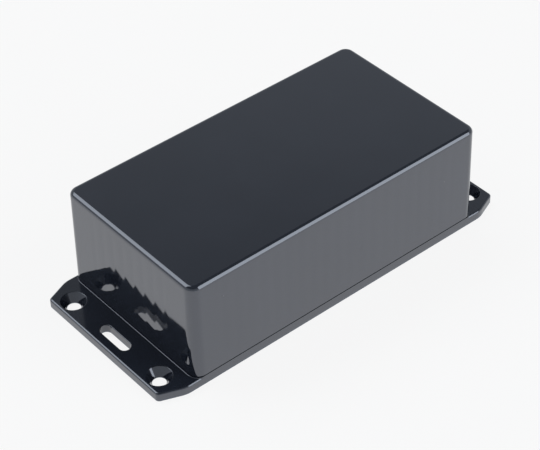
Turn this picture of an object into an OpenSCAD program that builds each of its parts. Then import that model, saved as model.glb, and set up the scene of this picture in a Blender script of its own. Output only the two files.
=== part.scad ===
// Flanged project box: a deep moulded case, closed face up, that stands on a flanged lid.
// Four screws come up through the lid into brass inserts in the corners of the case.
// Millimetres. +Z is up, X runs along the case, and the origin is the middle of the lid's underside.

/* [Case] */
// Length of the case along X, flanges left out
case_l = 120; // [100:1:160]
// Width of the case along Y, at the parting line
case_w = 64.5; // [56:0.5:90]
// Height of the closed box, lid included
case_h = 40; // [32:0.5:60]
// Thickness of the side walls
wall_t = 2.2; // [1.9:0.1:3]
// Thickness of the closed face
roof_t = 2.4; // [1.8:0.1:3.5]
// Radius of the upright corners at the parting line
corner_r = 4; // [3.5:0.25:7]
// Radius of the edge round the closed face
rim_r = 1.6; // [0.8:0.1:2.2]
// Radius where the closed face meets the walls inside
inner_rim_r = 0.8; // [0.4:0.1:1.2]
// Draft of the walls, in degrees
draft = 0.72; // [0.2:0.02:1.4]

/* [Lid] */
// Thickness of the lid below the case
lid_t = 3.5; // [3:0.1:5]
// Drop from the lid's seat for the case to the top of the flanges
flange_step = 0.3; // [0.1:0.05:0.6]
// How far the seat shows past the case's ends
seat_ledge = 0.3; // [0.1:0.05:0.8]
// How far each flange reaches past the case
flange_l = 12.4; // [11:0.1:20]
// Distance past the case at which a flange starts to narrow
shoulder_start = 1.8; // [0:0.1:4]
// Radius at which a flange turns inwards
shoulder_r = 9; // [5:0.5:16]
// Angle of a flange's narrowing sides, in degrees
shoulder_angle = 22; // [10:1:35]
// Radius of a flange's outer corners
flange_corner_r = 1.5; // [1:0.1:4]
// Radius along the flanges' upper edge
lid_edge_r = 0.7; // [0.2:0.05:1]
// Break on the sharp edge round the lid's underside
edge_break = 0.1; // [0.05:0.05:0.4]

/* [Flange holes] */
// Distance of the hole centres from the flange's outer edge
hole_inset = 5.4; // [5:0.1:8]
// Distance between the two holes of one flange
hole_span = 45.2; // [36:0.1:50]
// Diameter of a mounting hole
hole_d = 4.6; // [3.2:0.1:5.2]
// Diameter of its countersink on the upper face
countersink_d = 8.7; // [7:0.1:9.4]
// Depth of the countersink
countersink_depth = 2.8; // [1.6:0.1:3]
// Width of the slot between the two holes
slot_w = 4; // [3:0.1:5]
// Length of the slot, along Y
slot_l = 14; // [8:0.5:24]

/* [Lap joint] */
// Height of the tongue that the lid sends up inside the case
tongue_h = 2.2; // [1.5:0.1:3.5]
// Wall left outside the tongue
lap_wall = 1.1; // [0.9:0.05:1.3]
// Clearance round the tongue
lap_gap = 0.1; // [0.05:0.01:0.2]
// Chamfer that leads the tongue into the case
lead_in = 0.3; // [0.1:0.05:0.5]
// Height of the shadow groove round the case's foot
groove_h = 0.35; // [0.2:0.05:0.6]
// Depth of the shadow groove
groove_d = 0.6; // [0.3:0.05:0.7]

/* [Guide ribs] */
// Spacing of the ribs, and of the board slots between them
rib_pitch = 5.08; // [4:0.02:7.62]
// Width of a board slot between two ribs
board_slot = 2; // [1.4:0.1:2.6]
// Height of a rib above the wall, at the closed end
rib_d = 1.4; // [0.8:0.1:1.8]
// Bare wall between the tongue and the ribs' lower ends
rib_start = 1.5; // [0.5:0.1:6]

/* [Board posts] */
// Distance between the board posts along X
post_span_x = 88; // [60:1:92]
// Distance between the board posts along Y
post_span_y = 38; // [30:1:46]
// Diameter of a board post
post_d = 5.6; // [4.5:0.1:6.5]
// Height of a board post above the closed face's inner side
post_h = 4; // [3:0.5:10]
// Diameter of the pilot hole in a board post
pilot_d = 2.4; // [1.8:0.1:2.8]

/* [Corner bosses and inserts] */
// Distance from the case's outer faces to a screw's axis
boss_inset = 5.6; // [5:0.1:8]
// Diameter of a corner boss
boss_d = 7.8; // [7:0.1:9]
// Outer diameter of a brass insert
insert_d = 5; // [4.4:0.1:5.4]
// Length of a brass insert
insert_l = 6; // [4:0.5:7]
// Width and depth of the groove round its middle
insert_groove = 0.5; // [0.2:0.1:0.8]

/* [Lid screws] */
// Diameter over the screw's thread
screw_d = 3.5; // [3:0.1:4]
// Overall length of a screw, head included
screw_l = 12; // [10:0.5:16]
// Diameter of the screw's countersunk head
head_d = 6.8; // [6:0.1:7.6]
// Height of the head's straight rim
head_rim = 0.3; // [0.1:0.05:0.5]
// Depth of the head below the lid's underside
head_recess = 0.5; // [0.2:0.05:0.8]
// Clearance between the screw and everything round it
screw_gap = 0.08; // [0.04:0.01:0.1]
// Span of the cross recess in the head
cross_span = 3.8; // [3:0.1:4.4]
// Width of one arm of the cross recess
cross_w = 0.9; // [0.7:0.05:1.2]
// Depth of the cross recess
cross_depth = 1.7; // [1.2:0.1:2]

/* [Hidden] */
$fn = 48;

PLASTIC = [0.10, 0.105, 0.12];
STEEL = [0.72, 0.73, 0.75];
BRASS = [0.80, 0.64, 0.30];

over = 1;                                     // how far a cutter runs past the face it opens
round_steps = 6;                              // straight steps in a quarter of a rounded edge
inner_steps = 3;                              // and of the small one inside the case
corner_steps = 12;                            // straight steps round a flange's outer corner
shoulder_steps = 4;                           // and round its shoulder
lean = tan(draft);                            // how far a wall moves in for each unit of height
wall_h = case_h - lid_t;                      // height of the case's own walls
flange_t = lid_t - flange_step;               // thickness of a flange
cavity_h = wall_h - roof_t;                   // depth of the hollow below the closed face
cavity_r = max(corner_r - wall_t, cavity_h * lean + 1.1 * inner_rim_r);
roof_in_z = case_h - roof_t;                  // inner side of the closed face
boss_x = case_l / 2 - boss_inset;             // a screw's axis
boss_y = case_w / 2 - boss_inset;
end_x = case_l / 2 + flange_l;                // outer edge of a flange
hole_x = end_x - hole_inset;
tongue_wall = wall_t - lap_wall - lap_gap;    // thickness of the tongue
rib_w = rib_pitch - board_slot;
rib_z = lid_t + tongue_h + rib_start;         // lower end of the ribs
shank_r = screw_d / 2;
bore_r = shank_r + screw_gap;                 // holes that the screw passes or enters
head_top_z = head_recess + head_rim;          // where the head's cone starts
seat_r = head_d / 2 + 2 * screw_gap;          // mouth of the lid's countersink
screw_tip_z = head_recess + screw_l;
tip_room = 2;                                 // depth of a boss's hole past the screw's tip

// ---- outlines ----

// Rectangle with true round corners, centred on the origin.
module rounded_rect(l, w, r) {
    square([l - 2 * r, w], center = true);
    square([l, w - 2 * r], center = true);
    for (x = [-1, 1], y = [-1, 1])
        translate([x * (l / 2 - r), y * (w / 2 - r)]) circle(r);
}

// Points along an arc, from angle a0 to angle a1.
function arc(c, r, a0, a1, steps) =
    [for (i = [0:steps]) let (a = a0 + (a1 - a0) * i / steps) c + r * [cos(a), sin(a)]];

// Half of a drafted wall section: foot at half, height h, edge radius f at the top in so many
// steps. The groove at the foot is given by its depth and height, and [0, 0] is none.
module drafted_half(half, h, f, steps, groove) {
    round_x = half - (h - f) * lean - f / cos(draft);
    step = groove[0] > 0 ? [[half - groove[0], 0], [half - groove[0], groove[1]]] : [];
    polygon(concat([[0, 0]], step, [[half - groove[1] * lean, groove[1]]],
                   arc([round_x, h - f], f, draft, 90, steps), [[0, h]]));
}

// Block with leaning walls, round upright corners and a round upper edge.
module drafted_block(l, w, h, r, f, steps, groove = [0, 0]) {
    for (x = [-1, 1], y = [-1, 1])
        translate([x * (l / 2 - r), y * (w / 2 - r), 0])
            rotate_extrude() drafted_half(r, h, f, steps, groove);
    for (side = [0, 1])
        mirror([side, 0, 0]) rotate([90, 0, 0])
            linear_extrude(w - 2 * r, center = true)
                drafted_half(l / 2, h, f, steps, groove);
    for (side = [0, 1])
        mirror([0, side, 0]) rotate([90, 0, 90])
            linear_extrude(l - 2 * r, center = true)
                drafted_half(w / 2, h, f, steps, groove);
}

// Lid and flanges seen from above, moved in by d, as points. A quarter turns a small corner and a
// round shoulder, with the narrowing side between them.
function lid_outline(d) =
    let (normal = 90 - shoulder_angle,
         shoulder = [case_l / 2 + shoulder_start, case_w / 2 - shoulder_r],
         side = shoulder + (shoulder_r - flange_corner_r) * [cos(normal), sin(normal)],
         corner_x = end_x - flange_corner_r,
         corner = [corner_x, side[1] - (corner_x - side[0]) * tan(shoulder_angle)],
         quarter = concat(arc(corner, flange_corner_r - d, 0, normal, corner_steps),
                          arc(shoulder, shoulder_r - d, normal, 90, shoulder_steps)),
         back = [for (i = [len(quarter) - 1:-1:0]) [-quarter[i][0], quarter[i][1]]],
         half = concat(quarter, back))
    concat(half, -half);

// ---- sub-parts ----

// Corner bosses, filled out to the case's walls and beyond.
module corner_blocks() {
    reach = boss_inset + over;
    for (x = [-1, 1], y = [-1, 1])
        translate([x * boss_x, y * boss_y, lid_t]) {
            cylinder(d = boss_d, h = wall_h);
            translate([x > 0 ? 0 : -reach, y > 0 ? 0 : -reach, 0])
                cube([reach, reach, wall_h]);
        }
}

// Ribs along one wall, which faces +Y at the given distance; room is half its length between
// the bosses. A board slot lies on the wall's middle.
module rib_row(wall_y, room) {
    pairs = floor((room - rib_w / 2) / rib_pitch + 0.5);
    face = wall_y - wall_t - cavity_h * lean - rib_d;
    for (i = [0:pairs - 1], x = [-1, 1])
        translate([x * (i + 0.5) * rib_pitch - rib_w / 2, face, rib_z])
            cube([rib_w, wall_y - face + over, case_h - rib_z]);
}

module guide_ribs() {
    taken = boss_inset + boss_d / 2;
    for (turn = [0, 180]) {
        rotate(turn) rib_row(case_w / 2, case_l / 2 - taken);
        rotate(turn + 90) rib_row(case_l / 2, case_w / 2 - taken);
    }
}

module board_posts() {
    for (x = [-1, 1], y = [-1, 1])
        translate([x * post_span_x / 2, y * post_span_y / 2, roof_in_z - post_h])
            cylinder(d = post_d, h = post_h + over);
}

// The case's inside: the drafted hollow and the step for the lid's tongue, less what stands in it.
module box_hollow() {
    difference() {
        union() {
            translate([0, 0, lid_t])
                drafted_block(case_l - 2 * wall_t, case_w - 2 * wall_t, cavity_h,
                              cavity_r, inner_rim_r, inner_steps);
            translate([0, 0, lid_t - over])
                linear_extrude(over + tongue_h + lap_gap)
                    rounded_rect(case_l - 2 * lap_wall, case_w - 2 * lap_wall,
                                 corner_r - lap_wall);
        }
        corner_blocks();
        guide_ribs();
        board_posts();
    }
}

// Stepped hole up a corner boss: the insert's seat, then room for the screw's tip.
module insert_seat() {
    translate([0, 0, lid_t - over]) cylinder(d = insert_d, h = insert_l + over);
    translate([0, 0, lid_t]) cylinder(r = bore_r, h = screw_tip_z + tip_room - lid_t);
}

module box_body() {
    color(PLASTIC) difference() {
        translate([0, 0, lid_t])
            drafted_block(case_l, case_w, wall_h, corner_r, rim_r, round_steps,
                          [groove_d, groove_h]);
        box_hollow();
        for (x = [-1, 1], y = [-1, 1])
            translate([x * boss_x, y * boss_y, 0]) insert_seat();
        for (x = [-1, 1], y = [-1, 1])
            translate([x * post_span_x / 2, y * post_span_y / 2, roof_in_z - post_h - over])
                cylinder(d = pilot_d, h = post_h + over);
    }
}

// Both flanges and the floor between them as one plate: the outline carried up its edge section,
// broken below and round above. Each point of the section gives the distance moved in and the
// height.
module lid_plate() {
    section = concat([[edge_break, 0], [0, edge_break]],
                     [for (p = arc([0, flange_t - lid_edge_r], lid_edge_r, 0, 90, round_steps))
                         [lid_edge_r - p[0], p[1]]]);
    rings = [for (p = section) lid_outline(p[0])];
    n = len(rings[0]);
    top = len(rings) - 1;
    polyhedron(
        points = [for (i = [0:top], q = rings[i]) [q[0], q[1], section[i][1]]],
        faces = concat(
            [[for (k = [0:n - 1]) k], [for (k = [n - 1:-1:0]) top * n + k]],
            [for (i = [0:top - 1], k = [0:n - 1])
                let (a = i * n + k, b = i * n + (k + 1) % n) [a, a + n, b + n, b]]));
}

// Raised seat that the case stands on: the case's outline with a ledge round it, cut flush with
// the lid's long sides.
module case_seat() {
    intersection() {
        translate([0, 0, lid_t / 2]) linear_extrude(lid_t / 2)
            rounded_rect(case_l + 2 * seat_ledge, case_w + 2 * seat_ledge,
                         corner_r + seat_ledge);
        translate([0, 0, lid_t / 2])
            cube([case_l + 2 * flange_l, case_w, 2 * lid_t], center = true);
    }
}

// One bar of the tongue, so far from the case's middle and so long, with a lead-in outside.
module tongue_bar(wall_y, bar_l) {
    outer = wall_y - lap_wall - lap_gap;
    inner = outer - tongue_wall;
    top = lid_t + tongue_h;
    rotate([90, 0, 90]) linear_extrude(bar_l, center = true)
        polygon([[inner, lid_t - over], [outer, lid_t - over], [outer, top - lead_in],
                 [outer - lead_in, top], [inner, top]]);
}

// Tongue of the lap joint: a bar along each wall, which stops short of the corner bosses.
module tongue() {
    taken = 2 * (boss_inset + boss_d / 2 + lap_gap);
    for (turn = [0, 180]) {
        rotate(turn) tongue_bar(case_w / 2, case_l - taken);
        rotate(turn + 90) tongue_bar(case_l / 2, case_w - taken);
    }
}

module flange_hole() {
    widening = (countersink_d - hole_d) / countersink_depth;
    translate([0, 0, -over]) cylinder(d = hole_d, h = flange_t + 2 * over);
    translate([0, 0, flange_t - countersink_depth])
        cylinder(d1 = hole_d, d2 = countersink_d + over * widening, h = countersink_depth + over);
}

module flange_slot() {
    translate([0, 0, -over]) linear_extrude(lid_t + 2 * over) {
        square([slot_w, slot_l - slot_w], center = true);
        for (y = [-1, 1]) translate([0, y * (slot_l - slot_w) / 2]) circle(d = slot_w);
    }
}

module screw_seat() {
    translate([0, 0, -over]) cylinder(r = bore_r, h = lid_t + tongue_h + 2 * over);
    translate([0, 0, -over]) cylinder(r = seat_r, h = head_top_z + over);
    translate([0, 0, head_top_z])
        cylinder(r1 = seat_r, r2 = bore_r, h = seat_r - bore_r);
}

module flanged_lid() {
    color(PLASTIC) difference() {
        union() {
            lid_plate();
            case_seat();
            tongue();
        }
        for (x = [-1, 1]) {
            translate([x * hole_x, 0, 0]) flange_slot();
            for (y = [-1, 1]) {
                translate([x * hole_x, y * hole_span / 2, 0]) flange_hole();
                translate([x * boss_x, y * boss_y, 0]) screw_seat();
            }
        }
    }
}

// Countersunk machine screw, head down, at the corner given by the signs of x and y.
module lid_screw(x, y) {
    head_r = head_d / 2;
    tip = 0.5;
    color(STEEL) translate([x * boss_x, y * boss_y, 0]) difference() {
        rotate_extrude()
            polygon([[0, head_recess], [head_r, head_recess], [head_r, head_top_z],
                     [shank_r, head_top_z + head_r - shank_r], [shank_r, screw_tip_z - tip],
                     [shank_r - tip, screw_tip_z], [0, screw_tip_z]]);
        for (turn = [0, 90])
            rotate(turn) translate([0, 0, head_recess])
                cube([cross_span, cross_w, 2 * cross_depth], center = true);
    }
}

// Threaded brass insert with a groove round its middle, flush with the end of its boss.
module brass_insert(x, y) {
    r = insert_d / 2;
    mid = insert_l / 2;
    g = insert_groove;
    color(BRASS) translate([x * boss_x, y * boss_y, lid_t])
        rotate_extrude()
            polygon([[bore_r, 0], [r, 0], [r, mid - g], [r - g, mid - g / 2],
                     [r - g, mid + g / 2], [r, mid + g], [r, insert_l], [bore_r, insert_l]]);
}

box_body();
flanged_lid();
lid_screw(-1, -1);  // lid_screw_front_left
lid_screw(1, -1);  // lid_screw_front_right
lid_screw(-1, 1);  // lid_screw_rear_left
lid_screw(1, 1);  // lid_screw_rear_right
brass_insert(-1, -1);  // brass_insert_front_left
brass_insert(1, -1);  // brass_insert_front_right
brass_insert(-1, 1);  // brass_insert_rear_left
brass_insert(1, 1);  // brass_insert_rear_right
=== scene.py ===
"""Looks of a black, moulded plastic project box that stands on its flanged lid.

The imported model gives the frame: every piece lies where its node lies, in metres, and rides on the
same body. Sizes in the classes are in millimetres and are turned into metres as a mesh is made.
Curved surfaces are worked out as whole numpy arrays: an outline is carried up a section, or a
profile is turned about an axis.
"""

import logging
import math
from dataclasses import dataclass, field
from enum import Enum

import bpy
import numpy as np
from mathutils import Matrix, Vector


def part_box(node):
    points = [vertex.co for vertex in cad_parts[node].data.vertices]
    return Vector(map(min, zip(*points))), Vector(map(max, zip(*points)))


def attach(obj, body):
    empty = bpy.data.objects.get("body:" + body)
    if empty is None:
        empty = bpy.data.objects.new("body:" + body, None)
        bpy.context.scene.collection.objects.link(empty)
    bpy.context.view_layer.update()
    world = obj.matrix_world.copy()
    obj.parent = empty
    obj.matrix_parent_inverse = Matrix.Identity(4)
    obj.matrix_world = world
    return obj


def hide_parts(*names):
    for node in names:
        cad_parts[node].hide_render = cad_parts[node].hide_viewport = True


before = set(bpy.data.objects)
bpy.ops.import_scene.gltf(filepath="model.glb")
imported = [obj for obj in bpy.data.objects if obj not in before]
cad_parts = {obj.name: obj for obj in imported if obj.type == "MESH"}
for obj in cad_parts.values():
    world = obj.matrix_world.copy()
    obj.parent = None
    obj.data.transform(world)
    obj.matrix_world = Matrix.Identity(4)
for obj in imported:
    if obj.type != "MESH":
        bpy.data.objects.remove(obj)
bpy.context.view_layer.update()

MM = 0.001
LOG = logging.getLogger("project_box")
Array = np.ndarray


class Corner(Enum):
    """The four corners of the box, as the signs of X and Y."""

    FRONT_LEFT = (-1, -1)
    FRONT_RIGHT = (1, -1)
    REAR_LEFT = (-1, 1)
    REAR_RIGHT = (1, 1)

    @property
    def label(self) -> str:
        """The corner's name as the nodes write it."""
        return self.name.lower()

    def at(self, place: tuple[float, float]) -> tuple[float, float]:
        """A place given for the rear right corner, mirrored to this one."""
        return self.value[0] * place[0], self.value[1] * place[1]


class Carve(Enum):
    """What a second mesh does to the first one."""

    CUT = "DIFFERENCE"
    WELD = "UNION"


# ---------------------------------------------------------------- outlines and surfaces


@dataclass(frozen=True)
class Outline:
    """A closed outline seen from above, counter-clockwise.

    Point k lies at centre[k] + radius[k] * out[k], so that moving it in by d is centre + (radius -
    d) * out. It keeps straight stretches parallel and arcs concentric.
    """

    centre: Array
    out: Array
    radius: Array

    def at(self, inset: Array) -> Array:
        """The outline moved in by each of the given distances.

        Args:
            inset: One distance per ring, in millimetres. Negative distances move outwards.

        Returns:
            An array of rings by points by 2.
        """
        reach = self.radius[None, :] - np.asarray(inset, float)[:, None]
        return self.centre[None] + reach[..., None] * self.out[None]


def arc(centre: tuple[float, float], radius: float, start: float, end: float, steps: int) -> Array:
    """Points on an arc: centre + radius * (cos a, sin a), with the angle a in even steps.

    Args:
        centre: Centre of the arc.
        radius: Its radius.
        start: First angle in degrees.
        end: Last angle in degrees.
        steps: Number of steps between them.

    Returns:
        An array of steps + 1 points by 2.
    """
    a = np.radians(np.linspace(start, end, steps + 1))
    return np.array(centre) + radius * np.stack([np.cos(a), np.sin(a)], axis=1)


def rounded_rectangle(length: float, width: float, radius: float, runs: tuple[int, int] = (1, 1),
                      turn: int = 12) -> Outline:
    """Outline of a rectangle with round corners, centred on the axis.

    Each corner is an arc about its own centre. Between two corners the centre slides in even steps
    and the outward direction stays square to the side.

    Args:
        length: Size along X.
        width: Size along Y.
        radius: Radius of the corners.
        runs: Steps along each side that faces X, and along each that faces Y.
        turn: Steps round each corner.

    Returns:
        The outline.
    """
    a, b = length / 2 - radius, width / 2 - radius
    corners = np.array([[a, b], [-a, b], [-a, -b], [a, -b]])
    centre, out = [], []
    for quarter in range(4):
        here, there = corners[quarter], corners[(quarter + 1) % 4]
        angle = np.radians(90 * quarter + np.linspace(0, 90, turn + 1))
        out.append(np.stack([np.cos(angle), np.sin(angle)], axis=1))
        centre.append(np.repeat(here[None], turn + 1, axis=0))
        steps = runs[1 if quarter % 2 == 0 else 0]
        t = (np.arange(1, steps) / steps)[:, None]
        centre.append(here + t * (there - here))
        out.append(np.repeat(out[-1][-1:], steps - 1, axis=0))
    centre, out = np.concatenate(centre), np.concatenate(out)
    return Outline(centre, out, np.full(len(centre), float(radius)))


def circle(radius: float, steps: int = 64, at: tuple[float, float] = (0, 0)) -> Outline:
    """Outline of a circle: every point shares one centre.

    Args:
        radius: Radius of the circle.
        steps: Number of points.
        at: Its centre.

    Returns:
        The outline.
    """
    a = 2 * np.pi * np.arange(steps) / steps
    return Outline(np.repeat(np.array([at], float), steps, axis=0),
                   np.stack([np.cos(a), np.sin(a)], axis=1), np.full(steps, float(radius)))


def carried(outline: Outline, section: Array) -> Array:
    """An outline carried up a section: ring i is the outline moved in by section[i, 0], at height
    section[i, 1].

    Args:
        outline: The outline, seen from above.
        section: Rings by 2, the distance moved in and the height.

    Returns:
        Rings by points by 3, in millimetres.
    """
    flat = outline.at(section[:, 0])
    height = np.broadcast_to(section[:, 1][:, None, None], flat.shape[:2] + (1,))
    return np.concatenate([flat, height], axis=2)


def lattice(rows: int, columns: int, first: int = 0, ring_closed: bool = False) -> Array:
    """Faces of a grid that closes on itself along its columns.

    The face at row i and column k joins (i, k), (i, k+1), (i+1, k+1) and (i+1, k).

    Args:
        rows: Number of rings.
        columns: Points in each ring.
        first: Index of the grid's first point.
        ring_closed: Whether the last ring joins the first one too.

    Returns:
        Faces by 4.
    """
    i = np.arange(rows if ring_closed else rows - 1)[:, None]
    k = np.arange(columns)[None, :]
    up, on = (i + 1) % rows, (k + 1) % columns
    corners = [i * columns + k, i * columns + on, up * columns + on, up * columns + k]
    grid = np.stack([np.broadcast_to(c, (len(i), columns)) for c in corners], axis=-1)
    return first + grid.reshape(-1, 4)


def add_mesh(name: str, points: Array, faces: list) -> bpy.types.Object:
    """A mesh object at the origin.

    Args:
        name: Name of the piece.
        points: Points by 3, in millimetres.
        faces: Lists of point indices.

    Returns:
        The object, linked to the scene.
    """
    mesh = bpy.data.meshes.new(name)
    mesh.from_pydata((np.asarray(points, float).reshape(-1, 3) * MM).tolist(), [], faces)
    mesh.validate()
    piece = bpy.data.objects.new(name, mesh)
    bpy.context.scene.collection.objects.link(piece)
    return piece


def closed_lofts(name: str, stacks: list[Array]) -> bpy.types.Object:
    """Closed solids, one from each stack of rings, in one mesh.

    Each stack is skinned ring by ring and closed by its first and last ring. Rings run
    counter-clockwise seen from above and climb, so the faces point outwards.

    Args:
        name: Name of the piece.
        stacks: Arrays of rings by points by 3, in millimetres.

    Returns:
        The object.
    """
    points, faces, first = [], [], 0
    for rings in stacks:
        rows, columns = rings.shape[:2]
        points.append(rings.reshape(-1, 3))
        faces += lattice(rows, columns, first).tolist()
        faces.append((first + np.arange(columns)[::-1]).tolist())
        faces.append((first + (rows - 1) * columns + np.arange(columns)).tolist())
        first += rows * columns
    return add_mesh(name, np.concatenate(points), faces)


def moved(rings: Array, x: float, y: float, z: float = 0.0) -> Array:
    """A copy of the rings, moved by x, y and z millimetres."""
    return rings + np.array([x, y, z])


def quarter_turned(rings: Array) -> Array:
    """A copy of the rings, turned by 90 degrees about the upright axis."""
    return np.stack([-rings[..., 1], rings[..., 0], rings[..., 2]], axis=-1)


def turned_rings(radius: Array, height: Array, angle: Array) -> Array:
    """Rings about the upright axis: radius * (cos a, sin a) at each ring's height.

    Args:
        radius: Rings by points.
        height: One height per ring.
        angle: One angle per point, in radians.

    Returns:
        Rings by points by 3, in millimetres.
    """
    flat = radius[..., None] * np.stack([np.cos(angle), np.sin(angle)], axis=1)[None]
    up = np.broadcast_to(height[:, None, None], radius.shape + (1,))
    return np.concatenate([flat, up], axis=2)


def carve(piece: bpy.types.Object, tool: bpy.types.Object, how: Carve = Carve.CUT) -> None:
    """Cuts one closed mesh out of another, or welds it on, and removes the tool.

    Args:
        piece: The object whose mesh changes.
        tool: The other object.
        how: Cut or weld.
    """
    step = piece.modifiers.new("carve", "BOOLEAN")
    step.operation = how.value
    step.solver = "EXACT"
    step.object = tool
    graph = bpy.context.evaluated_depsgraph_get()
    made = bpy.data.meshes.new_from_object(piece.evaluated_get(graph), depsgraph=graph)
    piece.modifiers.remove(step)
    old = piece.data
    piece.data = made
    made.name = piece.name
    bpy.data.meshes.remove(old)
    bpy.data.meshes.remove(tool.data)


def smooth(piece: bpy.types.Object, crease: float = 32.0) -> None:
    """Shades a piece smooth, sharp only where two faces turn by more than the crease angle, with
    the normals taken from the large faces so that flats stay flat up to their rounded edges.

    Args:
        piece: The object.
        crease: The angle in degrees.
    """
    mesh = piece.data
    mesh.polygons.foreach_set("use_smooth", np.ones(len(mesh.polygons), bool))
    mesh.set_sharp_from_angle(angle=math.radians(crease))
    step = piece.modifiers.new("flat faces lead", "WEIGHTED_NORMAL")
    step.mode = "FACE_AREA"
    step.weight = 100
    step.thresh = 0.0001
    step.keep_sharp = True


# ---------------------------------------------------------------- finishes


class Nodes:
    """A short way to place and join shader nodes in one tree."""

    def __init__(self, tree: bpy.types.NodeTree) -> None:
        """Keeps the tree.

        Args:
            tree: A material's, world's or group's node tree.
        """
        self.tree = tree

    def add(self, kind: str, **settings: object) -> bpy.types.Node:
        """A new node.

        Args:
            kind: Blender's name for it, without the ShaderNode at its start.
            settings: Properties to set on it.

        Returns:
            The node.
        """
        node = self.tree.nodes.new("ShaderNode" + kind)
        for key, value in settings.items():
            setattr(node, key, value)
        return node

    def feed(self, socket: bpy.types.NodeSocket, source: object) -> None:
        """Joins an output to an input, or sets the input's own value.

        Args:
            socket: The input.
            source: An output socket or a plain value.
        """
        if isinstance(source, bpy.types.NodeSocket):
            self.tree.links.new(source, socket)
        elif source is not None:
            socket.default_value = source

    def math(self, how: str, *terms: object, clamp: bool = False) -> bpy.types.NodeSocket:
        """A Math node.

        Args:
            how: Its operation.
            terms: Sockets or numbers.
            clamp: Whether the result is kept between 0 and 1.

        Returns:
            Its output.
        """
        node = self.add("Math", operation=how, use_clamp=clamp)
        for socket, term in zip(node.inputs, terms):
            self.feed(socket, term)
        return node.outputs[0]

    def ramp(self, value: object, low: float, high: float, to_low: float = 0.0,
             to_high: float = 1.0) -> bpy.types.NodeSocket:
        """A smooth step from to_low, at low, to to_high, at high.

        Args:
            value: Socket to read.
            low: Where the step starts.
            high: Where it ends.
            to_low: Result before it.
            to_high: Result after it.

        Returns:
            The output.
        """
        node = self.add("MapRange", interpolation_type="SMOOTHSTEP")
        for socket, term in zip(node.inputs, (value, low, high, to_low, to_high)):
            self.feed(socket, term)
        return node.outputs[0]

    def noise(self, where: object, scale: float, detail: float = 2.0,
              roughness: float = 0.5) -> bpy.types.NodeSocket:
        """Noise from 0 to 1 over space.

        Args:
            where: Coordinates.
            scale: Features per metre.
            detail: Octaves above the first.
            roughness: Weight of the finer ones.

        Returns:
            The output.
        """
        node = self.add("TexNoise", noise_dimensions="3D")
        self.feed(node.inputs["Vector"], where)
        self.feed(node.inputs["Scale"], scale)
        node.inputs["Detail"].default_value = detail
        node.inputs["Roughness"].default_value = roughness
        return node.outputs["Fac"]

    def effect(self, tree: bpy.types.NodeTree, where: object,
               **settings: float) -> bpy.types.NodeSocket:
        """A shared shader group, read at the given coordinates.

        Args:
            tree: The group.
            where: Coordinates.
            settings: Values for its other inputs, by name.

        Returns:
            Its output.
        """
        node = self.add("Group", node_tree=tree)
        self.feed(node.inputs["Where"], where)
        for label, value in settings.items():
            node.inputs[label].default_value = value
        return node.outputs[0]

    def mix(self, factor: object, low: object, high: object) -> bpy.types.NodeSocket:
        """A blend of two colours.

        Args:
            factor: Share of the second.
            low: First colour.
            high: Second colour.

        Returns:
            The output.
        """
        node = self.add("Mix", data_type="RGBA", clamp_factor=True)
        self.feed(node.inputs[0], factor)
        self.feed(node.inputs[6], low)
        self.feed(node.inputs[7], high)
        return node.outputs[2]


def group(name: str, inputs: dict[str, tuple[str, float]],
          outputs: list[str]) -> tuple[Nodes, bpy.types.Node, bpy.types.Node]:
    """An empty node group with named sockets.

    Args:
        name: Name of the group.
        inputs: For each input its kind, Float or Vector, and its first value.
        outputs: Names of its outputs, which are all numbers.

    Returns:
        The group's nodes, its input node and its output node.
    """
    tree = bpy.data.node_groups.new(name, "ShaderNodeTree")
    for label, (kind, value) in inputs.items():
        socket = tree.interface.new_socket(label, in_out="INPUT", socket_type="NodeSocket" + kind)
        if kind == "Float":
            socket.default_value = value
    for label in outputs:
        tree.interface.new_socket(label, in_out="OUTPUT", socket_type="NodeSocketFloat")
    nodes = Nodes(tree)
    return nodes, tree.nodes.new("NodeGroupInput"), tree.nodes.new("NodeGroupOutput")


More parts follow.
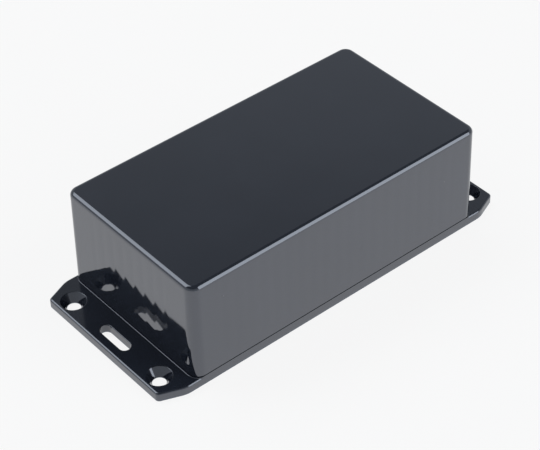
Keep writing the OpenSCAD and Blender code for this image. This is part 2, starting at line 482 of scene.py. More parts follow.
class Effects:
    """The shader groups that several finishes share, each built once."""

    def __init__(self) -> None:
        """Builds every group."""
        self.grain = self._grain()
        self.drift = self._drift()
        self.specks = self._specks()

    def _grain(self) -> bpy.types.NodeTree:
        """Height of a fine moulded grain: two noises, the coarse one three times wider.

        Returns:
            The group.
        """
        n, given, made = group("Moulded grain",
                               {"Where": ("Vector", 0), "Scale": ("Float", 2600.0)}, ["Height"])
        where, scale = given.outputs["Where"], given.outputs["Scale"]
        fine = n.noise(where, 1.0, 3.0, 0.6)
        n.feed(fine.node.inputs["Scale"], scale)
        coarse = n.noise(where, 1.0, 1.0, 0.5)
        n.feed(coarse.node.inputs["Scale"], n.math("MULTIPLY", scale, 0.31))
        n.feed(made.inputs["Height"], n.math("ADD", n.math("MULTIPLY", fine, 0.65),
                                             n.math("MULTIPLY", coarse, 0.35)))
        return n.tree

    def _drift(self) -> bpy.types.NodeTree:
        """Slow drift over a surface, from 0 to 1.

        Returns:
            The group.
        """
        n, given, made = group("Slow drift", {"Where": ("Vector", 0), "Scale": ("Float", 20.0),
                                              "Sharpness": ("Float", 0.2)}, ["Drift"])
        raw = n.noise(given.outputs["Where"], 1.0, 4.0, 0.55)
        n.feed(raw.node.inputs["Scale"], given.outputs["Scale"])
        low = n.math("SUBTRACT", 0.5, given.outputs["Sharpness"])
        high = n.math("ADD", 0.5, given.outputs["Sharpness"])
        n.feed(made.inputs["Drift"], n.ramp(raw, low, high))
        return n.tree

    def _specks(self) -> bpy.types.NodeTree:
        """Mask of sparse specks: the cores of a few cells, picked by their random colour.

        Returns:
            The group.
        """
        n, given, made = group("Specks",
                               {"Where": ("Vector", 0), "Scale": ("Float", 400.0),
                                "Share": ("Float", 0.03), "Size": ("Float", 0.2)}, ["Mask"])
        cells = n.add("TexVoronoi", voronoi_dimensions="3D", feature="F1")
        n.feed(cells.inputs["Vector"], given.outputs["Where"])
        n.feed(cells.inputs["Scale"], given.outputs["Scale"])
        split = n.add("SeparateColor")
        n.feed(split.inputs[0], cells.outputs["Color"])
        picked = n.math("LESS_THAN", split.outputs[0], given.outputs["Share"])
        core = n.math("LESS_THAN", cells.outputs["Distance"],
                      n.math("MULTIPLY", given.outputs["Size"], split.outputs[1]))
        n.feed(made.inputs["Mask"], n.math("MULTIPLY", picked, core))
        return n.tree


@dataclass(frozen=True)
class MouldedPlastic:
    """Black moulded plastic: nearly a mirror, with a blue cast and a faint grain."""

    name: str
    colour: tuple[float, float, float] = (0.0130, 0.0165, 0.0255)
    pale: tuple[float, float, float] = (0.0175, 0.0215, 0.0320)
    tint: tuple[float, float, float] = (0.88, 0.91, 1.0)
    dust: tuple[float, float, float] = (0.13, 0.135, 0.14)
    roughness: tuple[float, float] = (0.045, 0.085)
    ior: float = 1.64
    specular: float = 1.0
    drift_scale: float = 26.0
    grain_scale: float = 2600.0
    grain_depth: float = 0.0000012
    speck_scale: float = 420.0
    speck_share: float = 0.02
    speck_dull: float = 0.4

    def material(self, effects: Effects) -> bpy.types.Material:
        """The finished material.

        Args:
            effects: The shared shader groups.

        Returns:
            The material.
        """
        made = bpy.data.materials.new(self.name)
        made.use_nodes = True
        n = Nodes(made.node_tree)
        shader = made.node_tree.nodes["Principled BSDF"]
        where = n.add("TexCoord").outputs["Object"]

        drift = n.effect(effects.drift, where, Scale=self.drift_scale, Sharpness=0.25)
        specks = n.effect(effects.specks, where, Scale=self.speck_scale, Share=self.speck_share,
                          Size=0.12)
        grain = n.effect(effects.grain, where, Scale=self.grain_scale)

        body = n.mix(drift, (*self.colour, 1), (*self.pale, 1))
        n.feed(shader.inputs["Base Color"], n.mix(specks, body, (*self.dust, 1)))
        gloss = n.ramp(drift, 0.0, 1.0, *self.roughness)
        n.feed(shader.inputs["Roughness"],
               n.math("ADD", gloss, n.math("MULTIPLY", specks, self.speck_dull)))
        shader.inputs["IOR"].default_value = self.ior
        shader.inputs["Specular Tint"].default_value = (*self.tint, 1)
        shader.inputs["Specular IOR Level"].default_value = self.specular
        bump = n.add("Bump")
        bump.inputs["Strength"].default_value = 1.0
        bump.inputs["Distance"].default_value = self.grain_depth
        n.feed(bump.inputs["Height"], grain)
        n.feed(shader.inputs["Normal"], bump.outputs["Normal"])
        return made


@dataclass(frozen=True)
class TurnedMetal:
    """Metal of a small turned part, with fine rings and a tarnish that drifts over it."""

    name: str
    colour: tuple[float, float, float]
    tarnish: tuple[float, float, float]
    roughness: tuple[float, float]
    drift_scale: float = 420.0
    ring_scale: float = 9000.0
    ring_depth: float = 0.000004

    def material(self, effects: Effects) -> bpy.types.Material:
        """The finished material.

        Args:
            effects: The shared shader groups.

        Returns:
            The material.
        """
        made = bpy.data.materials.new(self.name)
        made.use_nodes = True
        n = Nodes(made.node_tree)
        shader = made.node_tree.nodes["Principled BSDF"]
        where = n.add("TexCoord").outputs["Object"]
        drift = n.effect(effects.drift, where, Scale=self.drift_scale)
        n.feed(shader.inputs["Base Color"], n.mix(drift, (*self.colour, 1), (*self.tarnish, 1)))
        n.feed(shader.inputs["Roughness"], n.ramp(drift, 0.0, 1.0, *self.roughness))
        shader.inputs["Metallic"].default_value = 1.0
        rings = n.add("TexNoise", noise_dimensions="1D")
        axis = n.add("SeparateXYZ")
        n.feed(axis.inputs[0], where)
        n.feed(rings.inputs["W"], axis.outputs[2])
        rings.inputs["Scale"].default_value = self.ring_scale
        bump = n.add("Bump")
        bump.inputs["Strength"].default_value = 0.35
        bump.inputs["Distance"].default_value = self.ring_depth
        n.feed(bump.inputs["Height"], rings.outputs["Fac"])
        n.feed(shader.inputs["Normal"], bump.outputs["Normal"])
        return made


@dataclass
class Workshop:
    """The finishes that the sub-assemblies take, and the shared groups behind them."""

    effects: Effects = field(default_factory=Effects)
    case_plastic: bpy.types.Material = None
    lid_plastic: bpy.types.Material = None
    screw_steel: bpy.types.Material = None
    insert_brass: bpy.types.Material = None

    def __post_init__(self) -> None:
        """Makes each material once."""
        self.case_plastic = MouldedPlastic("case plastic").material(self.effects)
        lid = MouldedPlastic("lid plastic", roughness=(0.06, 0.11))
        self.lid_plastic = lid.material(self.effects)
        self.screw_steel = TurnedMetal("screw steel", (0.62, 0.62, 0.63), (0.45, 0.45, 0.46),
                                       (0.22, 0.34)).material(self.effects)
        self.insert_brass = TurnedMetal("insert brass", (0.76, 0.56, 0.25), (0.55, 0.38, 0.16),
                                        (0.20, 0.34)).material(self.effects)

    def dress(self, piece: bpy.types.Object, finish: bpy.types.Material, slot: str, body: str,
              *nodes: str) -> bpy.types.Object:
        """Gives a finished piece its material and its body, and hides the solids that it stands for.

        Args:
            piece: The object.
            finish: Its material.
            slot: Not used.
            body: The body that it rides on.
            nodes: The solids that it stands for.

        Returns:
            The dressed object.
        """
        piece.data.materials.clear()
        piece.data.materials.append(finish)
        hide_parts(*nodes)
        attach(piece, body)
        LOG.info("%s: %d faces, on %s, for %s", piece.name, len(piece.data.polygons), body,
                 ", ".join(nodes))
        return piece


# ---------------------------------------------------------------- the case


@dataclass
class CaseShell:
    """The deep case: drafted walls, a round rim, and guide ribs, bosses and posts inside."""

    workshop: Workshop
    length: float = 120.0
    width: float = 64.5
    foot: float = 3.5
    top: float = 40.0
    wall: float = 2.2
    roof: float = 2.4
    corner: float = 4.0
    rim: float = 1.6
    inner_rim: float = 0.8
    draft: float = 0.72
    groove: tuple[float, float] = (0.6, 0.35)
    tongue_room: float = 2.3
    lap_wall: float = 1.1
    rib_pitch: float = 5.08
    rib_width: float = 3.08
    rib_depth: float = 1.4
    rib_foot: float = 7.2
    rib_pairs: tuple[int, int] = (10, 4)
    sink: float = 0.016
    boss: tuple[float, float] = (54.4, 26.65)
    boss_diameter: float = 7.8
    post: tuple[float, float] = (44.0, 19.0)
    post_diameter: float = 5.6
    post_height: float = 4.0
    pilot: float = 2.4
    seat_diameter: float = 5.0
    seat_depth: float = 6.0
    bore: float = 3.66
    bore_depth: float = 11.0
    over: float = 1.0

    @property
    def lean(self) -> float:
        """How far a wall moves in for each millimetre of height."""
        return math.tan(math.radians(self.draft))

    def wall_section(self, height: float, rim: float, groove: tuple[float, float], rows: int,
                     steps: int) -> Array:
        """Section of a leaning wall with a round upper edge.

        From the foot the wall moves in by its draft, and an arc that is tangent to the wall and to
        the flat top turns it inwards. The last ring lies a little further in on the flat.

        Args:
            height: Height of the block.
            rim: Radius of the upper edge.
            groove: Depth and height of the groove at the foot, or zeros for none.
            rows: Steps up the wall.
            steps: Steps round the upper edge.

        Returns:
            Rings by 2, the distance moved in and the height above the foot.
        """
        slope = math.radians(self.draft)
        middle = (height - rim) * self.lean + rim / math.cos(slope)
        turn = arc((middle, height - rim), rim, 180 - self.draft, 90, steps)
        z = np.linspace(groove[1], turn[0, 1], rows + 1)[:-1]
        straight = np.stack([z * self.lean, z], axis=1)
        start = [[groove[0], 0.0], [groove[0], groove[1]]] if groove[1] else []
        return np.concatenate([np.array(start).reshape(-1, 2), straight, turn,
                               [[middle + 0.08, height]]])

    def skin(self) -> Array:
        """Outer surface of the case, with the shallow sink marks that the ribs leave.

        A wall point moves in by sink * (2 (2 u)^2 - 1), where u runs from -1/2 to 1/2 between two
        ribs, so the wall is a row of shallow swells that meet in a crease over each rib. The marks
        fade out past the last rib, below the ribs' feet and towards the rim.

        Returns:
            Rings by points by 3, in millimetres.
        """
        fine = self.rib_pitch / 10
        runs = (round((self.width - 2 * self.corner) / fine),
                round((self.length - 2 * self.corner) / fine))
        outline = rounded_rectangle(self.length, self.width, self.corner, runs, 20)
        section = self.wall_section(self.top - self.foot, self.rim, self.groove, 30, 14)
        rings = carried(outline, section)
        rings[..., 2] += self.foot
        faces_x = np.abs(outline.out[:, 0]) > 0.999999
        faces_y = np.abs(outline.out[:, 1]) > 0.999999
        along = np.where(faces_x, rings[0, :, 1], rings[0, :, 0])
        last = np.where(faces_x, self.rib_pairs[1], self.rib_pairs[0]) * self.rib_pitch
        room = np.clip((last + 0.6 - np.abs(along)) / self.rib_pitch * 2, 0, 1)
        between = along / self.rib_pitch - np.round(along / self.rib_pitch)
        wave = 2 * (2 * between) ** 2 - 1
        z = rings[:, 0, 2]
        up = np.clip((z - self.rib_foot + 1) / 3, 0, 1)
        up = up * np.clip((self.top - self.rim - 0.4 - z) / 2, 0, 1)
        depth = self.sink * wave * room * (faces_x | faces_y)
        rings[..., :2] -= (up[:, None] * depth[None, :])[..., None] * outline.out[None]
        return rings

    def hollow(self) -> Array:
        """The room inside: the step for the lid's tongue, then the leaning walls and the roof.

        Returns:
            Rings by points by 3, in millimetres.
        """
        roof_in = self.top - self.roof
        depth = roof_in - self.foot
        radius = max(self.corner - self.wall, depth * self.lean + 1.1 * self.inner_rim)
        step = rounded_rectangle(self.length - 2 * self.lap_wall, self.width - 2 * self.lap_wall,
                                 self.corner - self.lap_wall)
        room = rounded_rectangle(self.length - 2 * self.wall, self.width - 2 * self.wall, radius)
        ledge = self.foot + self.tongue_room
        low = carried(step, np.array([[0, self.foot - self.over], [0, ledge]]))
        section = self.wall_section(depth, self.inner_rim, (0.0, 0.0), 2, 6)
        section[0] = [self.tongue_room * self.lean, self.tongue_room]
        high = carried(room, section)
        high[..., 2] += self.foot
        return np.concatenate([low, high])

    def standing(self) -> list[Array]:
        """What stands in the hollow: ribs, corner bosses and board posts.

        A rib is a bar with rounded tips that starts at the ribs' foot. A boss is a round post that
        is filled out to the two walls of its corner.

        Returns:
            One stack of rings for each.
        """
        roof_in = self.top - self.roof
        high = self.top - self.over / 2
        shapes = []
        lean_in = (roof_in - self.foot) * self.lean
        for turned in (0, 1):
            half = (self.width if turned == 0 else self.length) / 2
            tip = half - self.wall - lean_in - self.rib_depth
            bar = rounded_rectangle(self.rib_width, half - self.over / 2 - tip, 0.35, turn=3)
            section = np.array([[0.35, self.rib_foot], [0.1, self.rib_foot + 0.1],
                                [0.0, self.rib_foot + 0.35], [0.0, high]])
            rib = moved(carried(bar, section), 0, (half - self.over / 2 + tip) / 2)
            for pair in range(self.rib_pairs[turned]):
                for side in (-1, 1):
                    one = moved(rib, side * (pair + 0.5) * self.rib_pitch, 0)
                    other = one * np.array([-1, -1, 1])
                    for stack in (one, other):
                        if turned:
                            stack = quarter_turned(stack)
                        shapes.append(stack)
        reach = self.length / 2 - self.boss[0] + self.over / 2
        ring = np.concatenate([[[reach, 0], [reach, reach], [0, reach]],
                               arc((0, 0), self.boss_diameter / 2, 90, 360, 40)])
        for corner in Corner:
            x, y = corner.value
            plan = ring * np.array([x, y])
            plan = plan if x * y > 0 else plan[::-1]
            plan = plan + np.array(corner.at(self.boss))
            shapes.append(np.stack([np.column_stack([plan, np.full(len(plan), z)])
                                    for z in (self.foot - 2 * self.over, high)]))
            low = roof_in - self.post_height
            section = np.array([[0.3, low], [0.0, low + 0.3], [0.0, roof_in - 0.5],
                                [-0.15, roof_in - 0.15], [-0.5, roof_in], [-0.5, high]])
            post = circle(self.post_diameter / 2, 48, corner.at(self.post))
            shapes.append(carried(post, section))
        return shapes

    def bores(self) -> list[Array]:
        """Stepped seats up the bosses for the inserts, and pilot holes up the board posts.

        Returns:
            One stack of rings for each.
        """
        roof_in = self.top - self.roof
        shapes = []
        for corner in Corner:
            seat, bore = self.seat_diameter / 2, self.bore / 2
            section = np.array([[0, self.foot - self.over], [0, self.foot + self.seat_depth],
                                [seat - bore, self.foot + self.seat_depth],
                                [seat - bore, self.foot + self.bore_depth]])
            shapes.append(carried(circle(seat, 48, corner.at(self.boss)), section))
            low = roof_in - self.post_height
            section = np.array([[-0.25, low - self.over], [-0.25, low], [0, low + 0.25],
                                [0, roof_in]])
            shapes.append(carried(circle(self.pilot / 2, 32, corner.at(self.post)), section))
        return shapes

    def build(self) -> bpy.types.Object:
        """Builds and dresses the case.

        Returns:
            The dressed object.
        """
        room = closed_lofts("case room", [self.hollow()])
        carve(room, closed_lofts("case standing", self.standing()))
        shell = closed_lofts("case_shell", [self.skin()])
        carve(shell, room)
        carve(shell, closed_lofts("case bores", self.bores()))
        smooth(shell)
        return self.workshop.dress(shell, self.workshop.case_plastic, "case_plastic", "case",
                                   "box_body")


# ---------------------------------------------------------------- the lid


@dataclass
class FlangedLid:
    """The flat lid with both end flanges, its holes, screw seats and the lap joint's tongue."""

    workshop: Workshop
    case_length: float = 120.0
    case_width: float = 64.5
    thickness: float = 3.5
    flange_thickness: float = 3.2
    seat_ledge: float = 0.3
    case_corner: float = 4.0
    flange: float = 12.4
    shoulder_start: float = 1.8
    shoulder: float = 9.0
    shoulder_angle: float = 22.0
    corner: float = 1.5
    edge: float = 0.7
    edge_break: float = 0.1
    hole: tuple[float, float] = (67.0, 22.6)
    hole_diameter: float = 4.6
    countersink: float = 8.7
    countersink_depth: float = 2.8
    slot: tuple[float, float] = (4.0, 14.0)
    mouth: float = 0.22
    tongue_height: float = 2.2
    tongue_wall: float = 1.0
    tongue_inset: float = 1.2
    lead_in: float = 0.3
    boss: tuple[float, float] = (54.4, 26.65)
    boss_room: float = 4.0
    bore: float = 3.66
    seat: float = 3.56
    seat_top: float = 0.8
    over: float = 1.0

    def outline(self) -> Outline:
        """Lid and flanges from above: each quarter turns the small corner, then the wide shoulder.

        Returns:
            The outline.
        """
        turn = 90 - self.shoulder_angle
        out = np.array([math.cos(math.radians(turn)), math.sin(math.radians(turn))])
        wide = np.array([self.case_length / 2 + self.shoulder_start,
                         self.case_width / 2 - self.shoulder])
        side = wide + (self.shoulder - self.corner) * out
        x = self.case_length / 2 + self.flange - self.corner
        small = np.array([x, side[1] - (x - side[0]) * math.tan(math.radians(self.shoulder_angle))])
        small_steps, wide_steps = 19, 9
        a = np.radians(np.concatenate([np.linspace(0, turn, small_steps),
                                       np.linspace(turn, 90, wide_steps)]))
        way = np.stack([np.cos(a), np.sin(a)], axis=1)
        centre = np.concatenate([np.repeat(small[None], small_steps, axis=0),
                                 np.repeat(wide[None], wide_steps, axis=0)])
        radius = np.repeat([self.corner, self.shoulder], [small_steps, wide_steps]).astype(float)
        quarter = np.column_stack([centre, way, radius])
        over_x = quarter[::-1] * np.array([-1, 1, -1, 1, 1])
        half = np.concatenate([quarter, over_x])
        whole = np.concatenate([half, half * np.array([-1, -1, -1, -1, 1])])
        return Outline(whole[:, :2], whole[:, 2:4], whole[:, 4])

    def plate(self) -> Array:
        """The flanges and the floor between them: an outline carried up an edge that is broken
        below and round above.

        Returns:
            Rings by points by 3, in millimetres.
        """
        turn = arc((self.edge, self.flange_thickness - self.edge), self.edge, 180, 90, 10)
        section = np.concatenate([[[self.edge_break, 0.0], [0.0, self.edge_break]], turn])
        return carried(self.outline(), section)

    def case_seat(self) -> Array:
        """The raised seat below the case: the case's outline with a ledge round it, held in flush
        with the lid's long sides, and with a small round on its upper edge.

        Returns:
            Rings by points by 3, in millimetres.
        """
        grow = 2 * self.seat_ledge
        outline = rounded_rectangle(self.case_length + grow, self.case_width + grow,
                                    self.case_corner + self.seat_ledge)
        turn = arc((self.mouth, self.thickness - self.mouth), self.mouth, 180, 90, 5)
        rings = carried(outline, np.concatenate([[[0.0, self.thickness / 2]], turn]))
        rings[..., 1] = np.clip(rings[..., 1], -self.case_width / 2, self.case_width / 2)
        return rings

    def rim(self, cone: bool) -> Array:
        """Section of a hole's cutter, with a small round at both mouths.

        Args:
            cone: Whether the hole opens to a countersink on the upper face.

        Returns:
            Rings by 2, the distance moved in and the height.
        """
        e, t = self.mouth, self.flange_thickness
        low = arc((-e, e), e, -90, 0, 5)
        rings = [np.array([[-e, -self.over]]), low]
        if cone:
            flare = (self.countersink - self.hole_diameter) / 2
            slope = math.degrees(math.atan2(flare, self.countersink_depth))
            middle = (-flare - e * math.tan(math.radians(45 - slope / 2)), t - e)
            rings += [np.array([[0.0, t - self.countersink_depth]]), arc(middle, e, slope, 90, 5)]
        else:
            rings += [arc((-e, t - e), e, 0, 90, 5)]
        section = np.concatenate(rings)
        return np.concatenate([section, [[section[-1, 0], t + self.over]]])

    def holes(self) -> list[Array]:
        """Cutters for the round holes, the slots and the screw seats.

        Returns:
            One stack of rings for each.
        """
        stacks = []
        for x in (-1, 1):
            slot = rounded_rectangle(self.slot[0], self.slot[1], self.slot[0] / 2 - 1e-4,
                                     turn=16)
            stacks.append(moved(carried(slot, self.rim(False)), x * self.hole[0], 0))
        grow = self.seat - self.bore / 2
        screw_seat = np.array([[-grow, -self.over], [-grow, self.seat_top],
                               [0.0, self.seat_top + grow],
                               [0.0, self.thickness + self.tongue_height + self.over]])
        for corner in Corner:
            hole = circle(self.hole_diameter / 2, 64, corner.at(self.hole))
            stacks.append(carried(hole, self.rim(True)))
            stacks.append(carried(circle(self.bore / 2, 48, corner.at(self.boss)), screw_seat))
        return stacks

    def tongue(self) -> list[Array]:
        """The tongue's bars, one along each wall, each with rounded ends and a lead-in on top.

        Returns:
            One stack of rings for each.
        """
        top = self.thickness + self.tongue_height
        taken = 2 * (self.case_length / 2 - self.boss[0] + self.boss_room)
        section = np.array([[0.0, self.thickness - self.over], [0.0, top - self.lead_in],
                            [0.09, top - 0.09], [self.lead_in, top]])
        stacks = []
        for along, across in ((self.case_length, self.case_width),
                              (self.case_width, self.case_length)):
            bar = rounded_rectangle(along - taken, self.tongue_wall, 0.45, turn=4)
            middle = across / 2 - self.tongue_inset - self.tongue_wall / 2
            for side in (-1, 1):
                stack = moved(carried(bar, section), 0, side * middle)
                if along == self.case_width:
                    stack = quarter_turned(stack)
                stacks.append(stack)
        return stacks

    def build(self) -> bpy.types.Object:
        """Builds and dresses the lid.

        Returns:
            The dressed object.
        """
        lid = closed_lofts("lid_with_flanges", [self.plate()])
        carve(lid, closed_lofts("lid seat", [self.case_seat()]), Carve.WELD)
        carve(lid, closed_lofts("lid holes", self.holes()))
        carve(lid, closed_lofts("lid tongue", self.tongue()), Carve.WELD)
        smooth(lid)
        return self.workshop.dress(lid, self.workshop.lid_plastic, "lid_plastic", "lid",
                                   "flanged_lid")


# ---------------------------------------------------------------- screws and inserts


@dataclass
class LidScrews:
    """Four countersunk machine screws, head down, with a rolled thread and a tapered cross."""

    workshop: Workshop
    head: float = 3.4
    head_rim: float = 0.3
    shank: float = 1.75
    length: float = 12.0
    tip: float = 0.5
    pitch: float = 0.6
    thread: float = 0.30
    cross: tuple[float, float] = (3.8, 0.9)
    cross_depth: float = 1.7

    def turned(self) -> Array:
        """Head and threaded shank, head down at the origin.

        The thread's radius falls from the crest by thread * tent(z / pitch - angle / 2 pi), where
        tent runs from 0 to 1 and back once a turn, flattened at crest and root. It fades out under
        the head and at the tip.

        Returns:
            Rings by points by 3, in millimetres.
        """
        neck = self.head_rim + self.head - self.shank
        steps = 48
        a = 2 * np.pi * np.arange(steps) / steps
        head = np.array([[self.head - 0.12, 0.0], [self.head - 0.03, 0.04], [self.head, 0.12],
                         [self.head, self.head_rim], [self.shank + 0.12, neck - 0.12]])
        z = np.arange(neck, self.length - self.tip + 1e-6, self.pitch / 12)
        phase = (z[:, None] / self.pitch - a[None, :] / (2 * np.pi)) % 1.0
        tent = np.clip(1.25 * (1 - np.abs(2 * phase - 1)) - 0.12, 0, 1)
        fade = np.clip((z - neck - 0.2) / 0.5, 0, 1)[:, None]
        radius = self.shank - 0.004 - self.thread * tent * fade
        end = np.linspace(0, 1, 5)[1:, None]
        radius = np.concatenate([np.repeat(head[:, :1], steps, axis=1), radius,
                                 radius[-1] * (1 - end) + (self.shank - self.tip) * end])
        height = np.concatenate([head[:, 1], z, z[-1] + (self.length - z[-1]) * end[:, 0]])
        return turned_rings(radius, height, a)

    def cross_arm(self, turned: bool) -> Array:
        """One arm of the cross: a bar that narrows towards a blunt point.

        Args:
            turned: Whether it lies along Y.

        Returns:
            Rings by points by 3, in millimetres.
        """
        span, width = self.cross
        bar = rounded_rectangle(span, width, 0.12, turn=3)
        section = np.array([[-0.09, -0.5], [0.0, 0.0]])
        mouth = carried(bar, section)
        deep = carried(rounded_rectangle(span * 0.34, width * 0.5, 0.1, turn=3),
                       np.array([[0.0, self.cross_depth]]))
        mouth = np.concatenate([mouth, deep])
        return quarter_turned(mouth) if turned else mouth

    def build(self) -> list[bpy.types.Object]:
        """Builds one screw, copies it to the four corners and dresses each.

        Returns:
            The objects.
        """
        first = closed_lofts("screw", [self.turned()])
        for turned in (False, True):
            carve(first, closed_lofts("screw cross", [self.cross_arm(turned)]))
        pieces = []
        for corner in Corner:
            node = "lid_screw_" + corner.label
            low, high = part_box(node)
            piece = bpy.data.objects.new("screw_" + corner.label, first.data.copy())
            bpy.context.scene.collection.objects.link(piece)
            foot = Vector(((low.x + high.x) / 2, (low.y + high.y) / 2, low.z))
            piece.data.transform(Matrix.Translation(foot))
            smooth(piece, 40)
            pieces.append(self.workshop.dress(piece, self.workshop.screw_steel, "screw_steel",
                                              "screw_" + corner.label, node))
        bpy.data.meshes.remove(first.data)
        return pieces


@dataclass
class BrassInserts:
    """Four threaded brass inserts, knurled in two bands with a groove between them."""

    workshop: Workshop
    radius: float = 2.5
    bore: float = 1.83
    length: float = 6.0
    groove: float = 0.5
    teeth: int = 24
    knurl: float = 0.16
    pitch: float = 0.6

    def turned(self) -> Array:
        """The insert as one closed band: up the outside and down the bore.

        Outside, the radius falls by knurl * tent(teeth * angle + slant), and the slant turns the
        other way in the upper band. In the bore it grows with a thread of the screw's pitch.

        Returns:
            Rings by points by 3, in millimetres.
        """
        steps = self.teeth * 6
        a = 2 * np.pi * np.arange(steps) / steps
        middle = self.length / 2
        z = np.concatenate([[0.0, 0.12], np.linspace(0.35, middle - self.groove, 9),
                            [middle - self.groove / 2, middle + self.groove / 2],
                            np.linspace(middle + self.groove, self.length - 0.35, 9),
                            [self.length - 0.12, self.length]])
        base = np.full(len(z), self.radius)
        base[[0, -1]] -= 0.25
        base[[1, -2]] -= 0.06
        base[np.abs(z - middle) < self.groove * 0.9] = self.radius - self.groove
        slant = np.where(z < middle, z, -z)[:, None] * 0.9
        tent = np.abs(2 * ((self.teeth * a[None, :] / (2 * np.pi) + slant) % 1.0) - 1)
        banded = (base > self.radius - 0.01)[:, None]
        outside = base[:, None] - self.knurl * tent * banded
        down = np.linspace(self.length, 0, 73)
        phase = (down[:, None] / self.pitch - a[None, :] / (2 * np.pi)) % 1.0
        room = (np.minimum(down, self.length - down)[:, None] > 0.05)
        inside = self.bore + 0.16 * (1 - np.abs(2 * phase - 1)) * room
        radius = np.concatenate([outside, inside])
        height = np.concatenate([z, down])
        return turned_rings(radius, height, a)

    def build(self) -> list[bpy.types.Object]:
        """Builds the four inserts and dresses each.

        Returns:
            The objects.
        """
        rings = self.turned()
        faces = lattice(*rings.shape[:2], ring_closed=True).tolist()
        pieces = []
        for corner in Corner:
            node = "brass_insert_" + corner.label
            low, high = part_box(node)
            place = np.array([(low.x + high.x) / 2, (low.y + high.y) / 2, low.z]) / MM
            piece = add_mesh("insert_" + corner.label, rings + place, faces)
            smooth(piece, 50)
            pieces.append(self.workshop.dress(piece, self.workshop.insert_brass, "insert_brass",
                                              "case", node))
        return pieces


# ---------------------------------------------------------------- studio


@dataclass(frozen=True)
class SoftLight:
    """A round soft light in the studio's sky: full within the core, gone past the edge."""

    towards: tuple[float, float, float]
    radiance: float
    core: float
    edge: float


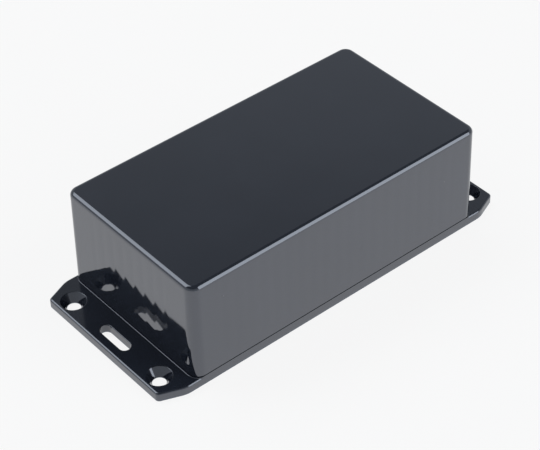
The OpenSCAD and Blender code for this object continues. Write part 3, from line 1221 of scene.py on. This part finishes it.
@dataclass
class Studio:
    """A white floor, a dim room with soft lights, and the camera."""

    sky: tuple[float, float] = (0.50, 0.11)
    sky_rise: tuple[float, float] = (0.45, 0.78)
    sky_tint: tuple[float, float, float] = (0.90, 0.95, 1.0)
    below: float = 1.0
    lights: tuple[SoftLight, ...] = (
        SoftLight((0.48, -0.58, 0.66), 2.9, 11.0, 17.0),
        SoftLight((0.48, -0.74, 0.47), 2.9, 12.0, 18.0),
        SoftLight((0.48, -0.85, 0.22), 2.9, 12.0, 18.0),
        SoftLight((-0.02, 0.59, 0.81), 2.3, 11.0, 20.0),
        SoftLight((-0.30, 0.59, 0.74), 2.5, 11.0, 17.0),
        SoftLight((-0.48, 0.59, 0.64), 2.5, 10.0, 15.0),
    )
    floor_size: float = 6.0
    floor_drop: float = 0.00005
    floor_share: float = 0.88
    azimuth: float = -39.345
    elevation: float = 40.520
    roll: float = -1.425
    distance: float = 0.598282
    aside: float = 0.001921
    upwards: float = 0.006111
    target_height: float = 0.020
    lens: float = 121.841

    def world(self) -> None:
        """White for the camera; for every other ray a dim sky with the soft lights in it.

        The sky falls off with height. Rays that two surfaces have mirrored see it without the
        lights, as they would past the edge of a light that stands close by.
        """
        world = bpy.data.worlds.new("studio room")
        bpy.context.scene.world = world
        world.use_nodes = True
        tree = world.node_tree
        tree.nodes.clear()
        n = Nodes(tree)
        way = n.add("TexCoord").outputs["Generated"]
        axes = n.add("SeparateXYZ")
        n.feed(axes.inputs[0], way)
        dome = n.ramp(axes.outputs[2], *self.sky_rise, *self.sky)
        total = n.math("MAXIMUM", dome, n.ramp(axes.outputs[2], -0.06, 0.0, self.below, 0.0))
        path = n.add("LightPath")
        first = n.math("LESS_THAN", path.outputs["Glossy Depth"], 1.5)
        for light in self.lights:
            dot = n.add("VectorMath", operation="DOT_PRODUCT")
            n.feed(dot.inputs[0], way)
            dot.inputs[1].default_value = Vector(light.towards).normalized()
            lobe = n.ramp(dot.outputs["Value"], math.cos(math.radians(light.edge)),
                          math.cos(math.radians(light.core)), 0.0, light.radiance)
            total = n.math("MAXIMUM", total, n.math("MULTIPLY", lobe, first))
        room = n.add("Background")
        room.inputs["Color"].default_value = (*self.sky_tint, 1)
        n.feed(room.inputs["Strength"], total)
        white = n.add("Background")
        white.inputs["Color"].default_value = (1, 1, 1, 1)
        split = n.add("MixShader")
        n.feed(split.inputs[0], path.outputs["Is Camera Ray"])
        n.feed(split.inputs[1], room.outputs[0])
        n.feed(split.inputs[2], white.outputs[0])
        n.feed(n.add("OutputWorld").inputs["Surface"], split.outputs[0])

    def floor(self) -> bpy.types.Object:
        """A plain white floor that keeps the shadow and is clear from below.

        Returns:
            The floor.
        """
        half, z = self.floor_size / 2 / MM, -self.floor_drop / MM
        corners = np.array([[-half, -half, z], [half, -half, z], [half, half, z], [-half, half, z]])
        floor = add_mesh("floor", corners, [[0, 1, 2, 3]])
        made = bpy.data.materials.new("floor white")
        made.use_nodes = True
        tree = made.node_tree
        tree.nodes.clear()
        n = Nodes(tree)
        matt = n.add("BsdfDiffuse")
        matt.inputs["Color"].default_value = (0.9, 0.9, 0.9, 1)
        glow = n.add("Emission")
        glow.inputs["Color"].default_value = (1, 1, 1, 1)
        path = n.add("LightPath")
        seen = n.math("ADD", path.outputs["Is Camera Ray"], path.outputs["Is Glossy Ray"])
        seen = n.math("ADD", seen, path.outputs["Is Transmission Ray"], clamp=True)
        lit = n.add("MixShader")
        n.feed(lit.inputs[0], n.math("MULTIPLY", seen, self.floor_share))
        n.feed(lit.inputs[1], matt.outputs[0])
        n.feed(lit.inputs[2], glow.outputs[0])
        near = n.math("MULTIPLY", n.math("LESS_THAN", path.outputs["Ray Length"], 0.001),
                      n.math("SUBTRACT", 1.0, path.outputs["Is Camera Ray"]))
        gone = n.math("MAXIMUM", n.add("NewGeometry").outputs["Backfacing"], near)
        both = n.add("MixShader")
        n.feed(both.inputs[0], gone)
        n.feed(both.inputs[1], lit.outputs[0])
        n.feed(both.inputs[2], n.add("BsdfTransparent").outputs[0])
        n.feed(n.add("OutputMaterial").inputs["Surface"], both.outputs[0])
        floor.data.materials.append(made)
        return floor

    def camera(self) -> bpy.types.Object:
        """The camera, turned about the line of sight by a small roll.

        It stands off from the middle of the box along the line of sight and slides square to it.

        Returns:
            The camera.
        """
        az, el, roll = (math.radians(a) for a in (self.azimuth, self.elevation, self.roll))
        back = Vector((math.sin(az) * math.cos(el), -math.cos(az) * math.cos(el), math.sin(el)))
        level = Vector((0, 0, 1)).cross(back).normalized()
        upright = back.cross(level)
        right = level * math.cos(roll) + upright * math.sin(roll)
        up = upright * math.cos(roll) - level * math.sin(roll)
        target = Vector((0, 0, self.target_height))
        place = target + back * self.distance - right * self.aside - up * self.upwards
        data = bpy.data.cameras.new("camera")
        data.lens = self.lens
        data.sensor_width = 36.0
        data.sensor_fit = "HORIZONTAL"
        data.clip_start = 0.01
        camera = bpy.data.objects.new("camera", data)
        bpy.context.scene.collection.objects.link(camera)
        turn = Matrix((right, up, back)).transposed()
        camera.matrix_world = Matrix.Translation(place) @ turn.to_4x4()
        bpy.context.scene.camera = camera
        return camera

    def build(self) -> None:
        """Sets the stage up."""
        scene = bpy.context.scene
        scene.view_settings.view_transform = "Standard"
        self.camera()
        self.world()
        self.floor()


def main() -> None:
    """Builds the stage and the sub-assemblies in order."""
    logging.basicConfig(level=logging.INFO, format="%(message)s")
    Studio().build()
    workshop = Workshop()
    CaseShell(workshop).build()
    FlangedLid(workshop).build()
    LidScrews(workshop).build()
    BrassInserts(workshop).build()


if __name__ == "__main__":
    main()
